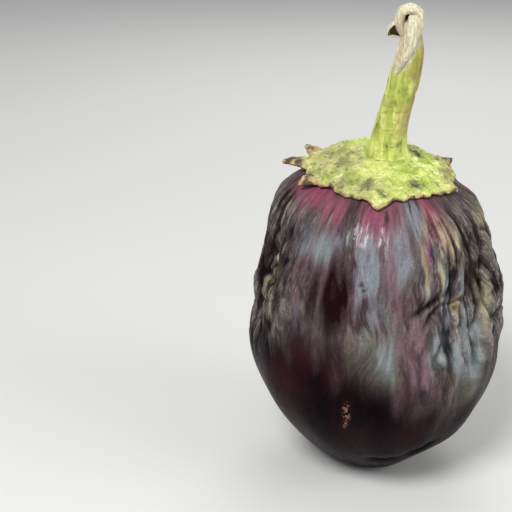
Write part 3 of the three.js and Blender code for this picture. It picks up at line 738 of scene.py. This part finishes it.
def skin_material(settings):
    paint = Paint("Eggplant skin", settings)
    grain, value, tint, shades, place = paint.grain, paint.value, paint.tint, paint.shades, paint.place
    worn, dark, sunk, maroon = (value(name) for name in ("worn", "dark", "sunk", "maroon"))
    streaked, slowly = paint.along_the_wrinkles(0.2), paint.along_the_wrinkles(0.5)
    streaks = grain(paint.along_the_wrinkles(0.3), 230, 0.38, 0.62, 6, 0.7)
    fine_streaks = grain(streaked, 520, 0.36, 0.66, 5, 0.4)
    scratch_and_glint_lines = grain(streaked, 1000, 0.54, 0.64, 5, 0.5)
    mottle = grain(slowly, 600, 0.42, 0.6, 8, 0.9)
    cloud = grain(slowly, 105, 0.38, 0.62, 7, 0.6)
    speckle = grain(place, 1100, 0.32, 0.68, 5)
    flaked = grain(paint.stretched(1, 1, 0.6), 1500, 0.5, 0.58, 5)

    def patch(name, strength, whole=0.0):
        """A patch's listed mask, broken up by streaks and clouds unless it is whole, and its colour."""
        broken = streaks * (0.75 * (1 - whole)) + cloud * (0.55 * (1 - whole)) + 0.75 * whole
        return (value(name) * (broken * strength)).held(), name

    mottled = worn * 0.3 + 0.03
    reddened = (maroon * 0.8).held()
    shaded = paint.mix(cloud, "dark", tint(dark=0.55, maroon=0.45))
    shaded = paint.mix(reddened, shaded, tint(maroon=2.1))
    skin = paint.layered(
        shades(streaks, "faded", 0.55, 1.3),
        (cloud * 0.35, "olive"),
        patch("olive", 1.1),
        patch("rosy", 1.1),
        patch("mauve", 1.1),
        patch("slate", 1.25),
        (mottle * mottled, tint(olive=1.35)),
        ((1 - mottle) * mottled, tint(maroon=1.2)),
        patch("maroon", 0.95, whole=0.65),
        patch("teal", 1.25, whole=0.35),
        patch("violet", 1.2),
        patch("cream", 1.1),
        patch("amber", 1.1),
        (0.22, fine_streaks, "MULTIPLY"),
        (dark, shaded),
        # Painted highlight: pale colour along the ridges of the wrinkles.
        ((value("ridge") * (speckle * 0.5 + 0.35)).held(), tint(cream=0.55, slate=0.45)),
        # Pale hairlines on the wrinkled skin: partly light scratches, partly painted glints.
        (scratch_and_glint_lines * ((worn * 0.4 + 0.05) * (1 - dark) * (1 - reddened)), tint(cream=0.7, slate=0.5)),
        (0.16, speckle, "MULTIPLY"),
        (value("scuff") * flaked, colour(FLAKED)),
        # Painted shade at the bottom of creases, wrinkles and pricks.
        (sunk * 0.92, colour(CREASE_SHADE_COLOUR)),
    )
    waxy = (worn * 0.2 + 0.22) * (1 - dark) * (1 - (maroon * 0.6).held())
    waxy = (waxy + 0.02) * (1 - sunk).held() * (fine_streaks * mottle * 2 + 0.2)
    rough = (speckle * 0.14 + settings.gloss + sunk * 0.25).held()
    paint.feed(Base_Color=skin, Roughness=rough, Specular_IOR_Level=0.03)
    paint.feed(Coat_Weight=waxy, Coat_Roughness=0.18)
    rough_lines = fine_streaks * 0.6 + speckle * 0.35 + (streaks + mottle * 0.5)
    paint.bump(rough_lines * (1 - dark * 0.8), 0.22, 0.9)
    return paint.material


def calyx_material(settings):
    paint = Paint("Eggplant calyx", settings)
    grain, value, tint, shades, place = paint.grain, paint.value, paint.tint, paint.shades, paint.place
    tan, rim, fibrous = value("tan"), value("dry"), paint.stretched(0.45, 1, 1)
    cloud = grain(place, 120, 0.38, 0.62, 6, 0.8)
    fibres = grain(fibrous, 330, 0.32, 0.68, 7, 1.0)
    fine = grain(fibrous, 1100, 0.34, 0.68, 5, 0.6)
    fleck = grain(place, 480, 0.58, 0.66, 5)
    pores = grain(place, 2200, 0.4, 0.7, 3)
    pale = grain(fibrous, 420, 0.54, 0.68, 7, 1.0)
    papery = grain(place, 300, 0.4, 0.58, 6, 0.6)
    dry = (rim + (fibres - 0.5) * 0.7).held() * paint.math("GREATER_THAN", rim, 0.02)
    spots = (value("spot") * (fibres * 0.6 + 0.75)).held()
    green = paint.layered(
        paint.mix(cloud, "green", "yellow"),
        (fibres * 0.45, "yellow"),
        ((1 - fibres) * 0.4, tint(green=0.65)),
        ((1 - fine) * 0.3, tint(green=0.5)),
        # Painted highlight: nearly white flecks along the fibres.
        (pale * 0.75, "pale"),
        # Dull tan places: partly the calyx's own colour, partly painted shade on its left and back.
        ((tan * (fibres * -0.5 + 1)).held(), shades(cloud, "olive", 0.5, 1.1)),
        (fleck * (tan * 0.5 + 0.2), "spot"),
        (spots, shades(fine, "spot", 0.55, 1.4)),
        (dry, paint.layered(shades(papery, "dry", 0.22, 1.3), (0.3, fine, "MULTIPLY"))),
        # Painted shade: the whole underside is dark brown.
        (value("under"), colour(UNDERSIDE_SHADE_COLOUR)),
    )
    paint.feed(Base_Color=green, Roughness=dry * 0.25 + 0.48)
    paint.bump(fibres + cloud + (fine * 0.3 + pores * 0.1), 0.5, 0.8)
    return paint.material


def stem_material(settings):
    paint = Paint("Eggplant stem", settings)
    grain, value, tint, shades, place = paint.grain, paint.value, paint.tint, paint.shades, paint.place
    tan, fibrous = value("tan"), paint.stretched(1, 1, 0.14)
    fine = grain(fibrous, 1300, 0.34, 0.68, 4)
    broad = grain(fibrous, 380, 0.34, 0.66, 4)
    ring = grain(paint.stretched(0.35, 0.35, 1), 480, 0.52, 0.66, 4, 0.8)
    blotch = grain(place, 330, 0.56, 0.68, 5, 0.5)
    cloud = grain(place, 160, 0.4, 0.62, 4)
    dirt = grain(place, 600, 0.32, 0.68, 6)
    cream = paint.mix(tan * 0.6, shades(fine, "cream", 0.6, 1), tint(brown=1.2))
    green = paint.layered(
        paint.mix(broad, "green", "yellow"),
        (value("olive") * (cloud * 0.4 + 0.5), "olive"),
        ((1 - fine) * 0.2, tint(green=0.6)),
        (ring * 0.3, tint(green=0.62)),
        ((blotch * 0.5 + tan * (broad + 0.25)).held(), shades(fine, "brown", 0.75, 1.3)),
        ((value("mark") * (dirt + 0.2)).held(), "mark"),
        (value("dry"), cream),
        # Inner side of the torn flap: brown of the dry tissue, deepened as painted shade.
        (value("inside"), shades(fine, "inside", 0.5, 1.3)),
        # Painted shade: the lump in the curl's hollow is nearly black.
        (value("hollow"), colour(HOLLOW_SHADE_COLOUR)),
    )
    paint.feed(Base_Color=green, Roughness=fine * 0.18 + 0.4)
    paint.bump(fine + (ring * -0.5 + broad * 0.6), 0.28, 0.9)
    return paint.material


# The pieces.


def fruit_patches(mesh, degrees, height, wrinkled, fine, sunk):
    """Keeps on the mesh where each colour and finish shows."""
    lean = np.radians(slanted(degrees, height))
    add_values(mesh, lean_x=STREAK_RADIUS * np.cos(lean), lean_y=STREAK_RADIUS * np.sin(lean))
    strayed = degrees + drift(4, 41, 40, 22, degrees, height) + drift(4, 42, 110, 12, degrees, height)
    risen = drift(6, 43, 60, 30, degrees, height)
    for name, patches in PATCHES.items():
        masks = (
            strength * skin_spot(strayed, height + risen * min(1, spot[3] / 12), *spot, PATCH_DEGREE, 1.4)
            for *spot, strength in patches
        )
        add_values(mesh, **{name: strongest(masks)})
    line = np.interp(degrees, *zip(*DARK_LINE)) + drift(16, 44, 80, 24, degrees, height)
    scuff = strongest(
        skin_spot(degrees, height, at, level, half, half / 0.7, SCUFF_DEGREE) for at, level, half in SCUFFS
    )
    add_values(
        mesh,
        dark=1 - smooth(height, line - 10, line + 12),
        worn=wrinkled,
        # Painted highlight along the wrinkles' ridges.
        ridge=wrinkled * smooth(fine, 0.15, 0.75),
        # Painted shade in the valleys of the wrinkles, besides the creases and pricks.
        sunk=np.maximum(sunk, 0.95 * wrinkled * smooth(-fine, 0.16, 0.52)),
        scuff=scuff,
    )


class EGGPLANT_OT_make_fruit(Operator):
    """Makes the fruit: its wrinkled, faded skin on the solid's own form."""

    bl_idname = "eggplant.make_fruit"
    bl_label = "Make fruit"

    def execute(self, context):
        settings = context.scene.eggplant_fruit
        skin = Skin(settings)
        round_degrees = np.arange(settings.columns) / settings.columns * 360 - 180
        latitudes = (np.arange(1, settings.rows) / settings.rows - 0.5) * math.pi
        degrees, latitude = np.meshgrid(round_degrees, latitudes)
        height = skin.height_of(latitude)
        broad, sunk = broad_relief(degrees, height)
        wrinkled = shrivel(degrees, height)
        fine = fine_relief(degrees, height, settings.seed)
        crumple, folds = crumpled(degrees, height, settings.seed)
        lift = broad + settings.wrinkle / MM * wrinkled * fine + crumple * folds
        wrinkled = np.clip(wrinkled + crumple, 0, 1)
        fine = fine + 0.9 * np.clip(crumple, 0, 1) * folds
        for at, level, half, depth in PRICKS:
            prick = skin_spot(degrees, height, at, level, half, half, PRICK_DEGREE)
            lift -= depth * prick
            # Painted shade in the middle of the prick.
            sunk = np.maximum(sunk, 0.9 * min(1, depth) * prick**PRICK_CORE)
        ends = skin.point(np.zeros(2), np.array([-math.pi / 2, math.pi / 2]), 0)
        mesh = grid_mesh("Eggplant fruit", skin.point(degrees, latitude, lift), ends)
        fruit_patches(mesh, degrees, height, wrinkled, fine, sunk)
        dress(add_object("eggplant_fruit", mesh), skin_material(settings), "fruit")
        return {"FINISHED"}


def lobe_share(degrees, at, half):
    """How near a place is to the middle line of one of the calyx's points, from 0 to 1."""
    return np.maximum(0, 1 - np.abs(degrees_between(degrees, at)) / half)


class CalyxRules:
    """The calyx's outline, thickness and lift, in millimetres. share is 0 at the collar and 1 at the rim."""

    def __init__(self, settings, skin, foot):
        self.skin, self.foot = skin, foot
        for name in ("radius", "gap", "edge", "flesh", "unevenness", "collar_radius", "seat_height", "wart"):
            setattr(self, name, getattr(settings, name) / MM)

    def rim_radius(self, degrees):
        a = np.radians(degrees)
        ragged = 0.35 * np.sin(11 * a + 1) + 0.3 * np.sin(19 * a + 2.2) + 0.22 * np.sin(31 * a)
        torn = drift(0.5, 61, 120, 10, degrees, 0) + drift(0.15, 62, 240, 10, degrees, 0)
        lobes = sum(out * lobe_share(degrees, at, half) ** 1.35 for at, out, half, _ in LOBES)
        return self.radius + 0.9 * np.cos(2 * a + 0.5) + ragged + torn + lobes

    def rim_lift(self, degrees):
        a = np.radians(degrees)
        waved = np.maximum(0, 0.25 + 0.25 * np.sin(7 * a + 0.6) + 0.15 * np.sin(13 * a))
        return waved + sum(lift * lobe_share(degrees, at, half) ** 1.2 for at, _, half, lift in LOBES)

    def plan(self, degrees, share):
        """x and y of a place on the calyx, which is centred 2 mm in front of the fruit's axis."""
        to_middle = smooth(share, 0, 0.9)
        x0, y0 = self.foot[0] * (1 - to_middle), self.foot[1] + (-2 - self.foot[1]) * to_middle
        out = self.collar_radius + (self.rim_radius(degrees) - self.collar_radius) * share
        return x0 + out * np.cos(np.radians(degrees)), y0 + out * np.sin(np.radians(degrees))

    def lift(self, degrees, share, x, y):
        """How far its top lies above the fruit's skin."""
        inward = np.maximum(1 - share, 0)
        flesh = self.flesh + self.unevenness * np.cos(np.radians(degrees - 130))
        thick = self.gap + self.edge + flesh * inward**0.55
        lumps = 0.5 * np.sin(x / 2.1 + 0.8 * np.sin(y / 3.1)) * np.sin(y / 2.4 + 0.4)
        lumps = lumps + 0.35 * np.sin(x / 3.9 - y / 2.9 + 1)
        ribs = sum(lobe_share(degrees, at, half) for at, out, half, _ in LOBES if out > 2)
        rim = self.rim_lift(degrees) * smooth(share, 0.72, 1) ** 1.5
        return thick + lumps * smooth(share, 0.05, 0.3) * (1 - 0.6 * share) + 0.5 * ribs * inward + rim

    def warts(self, x, y, share):
        """Small bumps and folds over the whole top."""
        broad = np.sin(x * 0.95 + 1.6 * np.sin(y * 0.5)) * np.sin(y * 1.15 + 1.5 * np.sin(x * 0.45) + 1)
        bumps = np.sin(x * 1.5 + 2 * np.sin(y * 1.1)) * np.sin(y * 2.6 + 2 * np.sin(x * 0.8))
        small = np.sin(x * 3.1 + 3 * np.sin(y * 1.7)) * np.sin(y * 5.1 + 3 * np.sin(x * 1.9))
        fade = smooth(share, 0.02, 0.2) * (1 - 0.5 * smooth(share, 0.9, 1))
        return self.wart * (1.1 * broad + 0.6 * bumps + 0.35 * small) * fade


def calyx_patches(mesh, points, share, degrees, under_rows):
    """Keeps on the mesh where each colour and finish shows."""
    x, y = points[..., 0], points[..., 1]
    spots = []
    for at_x, at_y, long, wide, turn, strength in CALYX_SPOTS:
        c, s = math.cos(math.radians(turn)), math.sin(math.radians(turn))
        u, v = (x - at_x) * c + (y - at_y) * s, (y - at_y) * c - (x - at_x) * s
        spots.append(strength * soft_spot(u / long, v / wide, 1.5))
    reach = 0.985 + drift(0.03, 63, 60, 10, degrees, 0)
    for at, _, half, lift in LOBES:
        reach = reach - (0.2 if lift > 2 else 0.02) * lobe_share(degrees, at, half * 1.2)
    tans = [soft_spot((x - at_x) / wide, (y - at_y) / long, 1.2) for at_x, at_y, wide, long in CALYX_TANS]
    # Painted shade over the whole underside.
    under = np.zeros(x.shape)
    under[:under_rows] = 0.85
    dry = smooth(share, reach - 0.02, reach + 0.02)
    add_values(mesh, spot=strongest(spots), tan=strongest(tans), dry=dry, under=under)


class EGGPLANT_OT_make_calyx(Operator):
    """Makes the calyx: a lumpy green cap with a dry, ragged rim."""

    bl_idname = "eggplant.make_calyx"
    bl_label = "Make calyx"

    def execute(self, context):
        settings = context.scene.eggplant_calyx
        foot = STALK[0][0]
        rules = CalyxRules(settings, Skin(context.scene.eggplant_fruit), foot)
        round_degrees = np.arange(settings.columns) / settings.columns * 360
        top_shares = 1 - (np.arange(settings.rows + 1) / settings.rows) ** 0.8
        degrees, share = np.meshgrid(round_degrees, top_shares)
        x, y = rules.plan(degrees, share)
        top = rules.skin.over(x, y, rules.lift(degrees, share, x, y) + rules.warts(x, y, share))
        near_stem = np.exp(-share / 0.055)
        top[..., 2] = top[..., 2] * (1 - near_stem) + rules.seat_height * near_stem
        under_shares = (np.arange(12) / 11) ** 0.75
        under_degrees, under_share = np.meshgrid(round_degrees, under_shares)
        x, y = rules.plan(under_degrees, under_share)
        hollowed = rules.edge + 1.4 * rules.flesh * (1 - under_share)
        under_lift = np.maximum(rules.gap, rules.lift(under_degrees, under_share, x, y) - hollowed)
        points = np.concatenate([rules.skin.over(x, y, under_lift), top])
        inner = rules.skin.over(np.array([foot[0]]), np.array([foot[1]]), rules.gap)
        mesh = grid_mesh("Eggplant calyx", points, np.vstack([inner, [foot[0], foot[1], rules.seat_height]]))
        shares, all_degrees = np.concatenate([under_share, share]), np.concatenate([under_degrees, degrees])
        calyx_patches(mesh, points, shares, all_degrees, len(under_shares))
        dress(add_object("eggplant_calyx", mesh), calyx_material(settings), "calyx")
        return {"FINISHED"}


def along_curve(path, shares):
    """Points of a smooth curve through a path, at shares of it from 0 to 1, and the direction there."""
    p = np.array(path, float)
    ends = np.vstack([2 * p[0] - p[1], p, 2 * p[-1] - p[-2]])
    place = np.clip(np.asarray(shares) * (len(p) - 1), 0, len(p) - 1 - 1e-6)
    i = place.astype(int)
    t = (place - i)[:, None]
    a, b, c, d = ends[i], ends[i + 1], ends[i + 2], ends[i + 3]
    slope, bend, twist = c - a, 2 * a - 5 * b + 4 * c - d, 3 * b - a - 3 * c + d
    at = 0.5 * (2 * b + slope * t + bend * t**2 + twist * t**3)
    onward = 0.5 * (slope + 2 * bend * t + 3 * twist * t**2)
    return at, onward / np.linalg.norm(onward, axis=1, keepdims=True)


def between(values, shares):
    return np.interp(np.asarray(shares) * (len(values) - 1), np.arange(len(values)), values)


def tube_mesh(name, path, wide, thick, sides, steps, across, swell):
    """A closed oval tube along a curve, whose wide side stays square to the direction given. Gives the mesh,
    the heights of its points, their shares of the length and their turns round it."""
    shares, turn = np.arange(steps + 1) / steps, np.arange(sides) / sides * TURN
    middle, onward = along_curve(path, shares)
    side = np.array(across)[None] - onward * (onward @ np.array(across))[:, None]
    side /= np.linalg.norm(side, axis=1, keepdims=True)
    over = np.cross(onward, side)
    grid_share, grid_turn = np.meshgrid(shares, turn, indexing="ij")
    grown = 1 + swell(grid_share, grid_turn)
    w = (between(wide, shares)[:, None] * np.cos(turn) * grown)[..., None]
    h = (between(thick, shares)[:, None] * np.sin(turn) * grown)[..., None]
    rings = middle[:, None] + side[:, None] * w + over[:, None] * h
    return grid_mesh(name, rings, along_curve(path, [0, 1])[0]), rings[..., 2], grid_share, grid_turn


def stalk(settings):
    ribs = settings.rib_height / MM

    def swell(share, turn):
        degrees, level = np.degrees(turn), share * 60
        ribbed = ribs * np.cos(5 * turn) + 0.55 * ribs * np.cos(13 * turn + 5 * share)
        worn = drift(0.7, 71, 24, 14, degrees, level) + drift(0.4, 72, 48, 7, degrees, level)
        ring = -0.28 * soft_spot((share - 0.5 - 0.012 * np.sin(2 * turn)) / 0.012)
        fluted_foot = 1.6 * (lattice(73, 20, 60, degrees, level) - 0.35) * (1 - smooth(share, 0, 0.22))
        return (ribbed + worn + ring + fluted_foot) / 5.5

    path, radii = zip(*STALK)
    flatter = [radius * 0.94 for radius in radii]
    mesh, height, _, turn = tube_mesh(
        "stalk", path, radii, flatter, settings.sides, settings.steps, (1, 0, 0), swell
    )
    degrees = np.degrees(turn)

    def facing(middle, low, high):
        """1 where the stalk faces that many degrees, and 0 away from there."""
        return smooth(np.cos(turn - math.radians(middle)), low, high)

    border = np.interp(degrees, *zip(*DRY_BORDER)) + drift(5, 74, 40, 60, degrees, height)
    right = facing(-22, 0.86, 0.99) * smooth(height, 136, 146)
    left = 0.8 * facing(205, 0.9, 1) * smooth(height, 164, 170)
    low = 0.5 * smooth(height, 138, 144) * (1 - smooth(height, 150, 156)) * facing(310, 0.6, 1)
    bent = smooth(height, 156, 164) * facing(290, 0.3, 0.9)
    ringed = 0.6 * soft_spot((height - 140.5) / 1.6) + 0.7 * soft_spot((height - 152) / 3)
    marks = strongest(
        strength * soft_spot((height - level) / tall, degrees_between(degrees, at) / wide, 1.3)
        for level, at, tall, wide, strength in STALK_MARKS
    )
    add_values(
        mesh,
        dry=smooth(height, border - 0.8, border + 0.8),
        tan=strongest([right, left, low]),
        olive=np.clip(bent + ringed, 0, 1),
        mark=marks,
        inside=0,
        hollow=0,
    )
    return mesh


def lump(name, middle, size, shows):
    """A rounded lump; shows names the finish that it takes."""
    rises, turns = (np.arange(1, 20) / 20 - 0.5) * math.pi, np.arange(32) / 32 * TURN
    rise, turn = np.meshgrid(rises, turns, indexing="ij")
    unit = np.stack([np.cos(rise) * np.cos(turn), np.cos(rise) * np.sin(turn), np.sin(rise)], -1)
    ends = np.array(middle) + np.array([(0, 0, -size[2]), (0, 0, size[2])])
    mesh = grid_mesh(name, np.array(middle) + unit * np.array(size), ends)
    add_values(mesh, dry=1, inside=shows == "inside", hollow=shows == "hollow", tan=0.5, olive=0)
    return mesh


def peel(name, shape, sides, steps, across, inside):
    """A dry piece of the torn end: oval in section and ridged along its fibres."""

    def swell(share, turn):
        degrees, level = np.degrees(turn), share * 60
        return drift(0.2, 81, 16, 30, degrees, level) + drift(0.1, 82, 9, 6, degrees, level)

    mesh, _, share, turn = tube_mesh(name, **shape, sides=sides, steps=steps, across=across, swell=swell)
    edge = 0.7 * smooth(np.sin(2 * turn + 1), 0.5, 1) * smooth(share, 0.3, 0.7)
    # The inner side takes the brown inside colour, partly painted shade.
    inner = np.clip(inside * 2 * smooth(np.sin(turn), 0.1, 0.8), 0, 1)
    add_values(mesh, dry=1, hollow=0, olive=0, tan=edge, inside=inner)
    return mesh


class EGGPLANT_OT_make_stem(Operator):
    """Makes the stem: a ribbed stalk with a torn, dry end that curls and hangs down it in a strip."""

    bl_idname = "eggplant.make_stem"
    bl_label = "Make stem"

    def execute(self, context):
        settings = context.scene.eggplant_stem
        parts = [stalk(settings)]
        parts += [lump(f"lump_{number}", **values) for number, values in enumerate(LUMPS, 1)]
        parts.append(peel("curl", CURL, 28, 72, (0, 1, 0.25), 0.1))
        parts.append(peel("flap", FLAP, 20, 44, (0, 1, 0.2), 0.5))
        parts.append(peel("strip", STRIP, 24, 72, (1, 0.2, -0.3), 0.0))
        pieces = [add_object(mesh.name, mesh) for mesh in parts]
        stem = pieces[0]
        with context.temp_override(
            active_object=stem, object=stem, selected_objects=pieces, selected_editable_objects=pieces
        ):
            bpy.ops.object.join()
        stem.name = "eggplant_stem"
        dress(stem, stem_material(settings), "stem")
        return {"FINISHED"}


class EGGPLANT_OT_make_stage(Operator):
    """Makes the plain floor, the soft lights and the camera."""

    bl_idname = "eggplant.make_stage"
    bl_label = "Make stage"

    def execute(self, context):
        settings, scene = context.scene.eggplant_stage, context.scene
        mesh = bpy.data.meshes.new("floor")
        corners = [(x * FLOOR_HALF, y * FLOOR_HALF, 0) for x, y in ((-1, -1), (1, -1), (1, 1), (-1, 1))]
        mesh.from_pydata(corners, [], [(0, 1, 2, 3)])
        paint = Paint("Pale floor", settings)
        paint.feed(Base_Color="floor", Roughness=0.85)
        mesh.materials.append(paint.material)
        add_object("floor", mesh)
        for name, place, size, power in LIGHTS:
            data = bpy.data.lights.new(name, "AREA")
            data.shape, data.size, data.energy = "DISK", size, getattr(settings, power)
            lamp = add_object(name, data)
            lamp.location = place
            lamp.rotation_euler = (LIT_POINT - Vector(place)).to_track_quat("-Z", "Y").to_euler()
        world = bpy.data.worlds.new("Surroundings")
        world.use_nodes = True
        background = world.node_tree.nodes["Background"].inputs
        background["Color"].default_value, background["Strength"].default_value = SKY_COLOUR, settings.sky
        scene.world = world
        camera = bpy.data.cameras.new("Camera")
        camera.lens, camera.sensor_width, camera.clip_start = settings.lens, 36, 0.01
        holder = add_object("Camera", camera)
        tilt = Matrix.Rotation(math.pi / 2 - settings.camera_tilt, 4, "X")
        holder.matrix_world = Matrix.Translation(settings.camera_place) @ tilt
        scene.camera = holder
        scene.view_settings.view_transform = "Standard"
        return {"FINISHED"}


class EGGPLANT_PT_sidebar(Panel):
    """Lists the eggplant's pieces with their sizes and colours."""

    bl_label = "Eggplant"
    bl_idname = "EGGPLANT_PT_sidebar"
    bl_space_type = "VIEW_3D"
    bl_region_type = "UI"
    bl_category = "Eggplant"

    def draw(self, context):
        for name, _, operator in STEPS:
            box = self.layout.box()
            settings = getattr(context.scene, name)
            for key in type(settings).__annotations__:
                box.prop(settings, key)
            box.operator(operator.bl_idname)


# What each step is set by, and the operator that does it.
STEPS = (
    ("eggplant_fruit", FruitSettings, EGGPLANT_OT_make_fruit),
    ("eggplant_calyx", CalyxSettings, EGGPLANT_OT_make_calyx),
    ("eggplant_stem", StemSettings, EGGPLANT_OT_make_stem),
    ("eggplant_stage", StageSettings, EGGPLANT_OT_make_stage),
)


def register():
    for name, group, operator in STEPS:
        bpy.utils.register_class(group)
        setattr(bpy.types.Scene, name, PointerProperty(type=group))
        bpy.utils.register_class(operator)
    bpy.utils.register_class(EGGPLANT_PT_sidebar)


def unregister():
    bpy.utils.unregister_class(EGGPLANT_PT_sidebar)
    for name, group, operator in reversed(STEPS):
        bpy.utils.unregister_class(operator)
        delattr(bpy.types.Scene, name)
        bpy.utils.unregister_class(group)


def main():
    register()
    bpy.ops.eggplant.make_fruit()
    bpy.ops.eggplant.make_calyx()
    bpy.ops.eggplant.make_stem()
    bpy.ops.eggplant.make_stage()


if __name__ == "__main__":
    main()
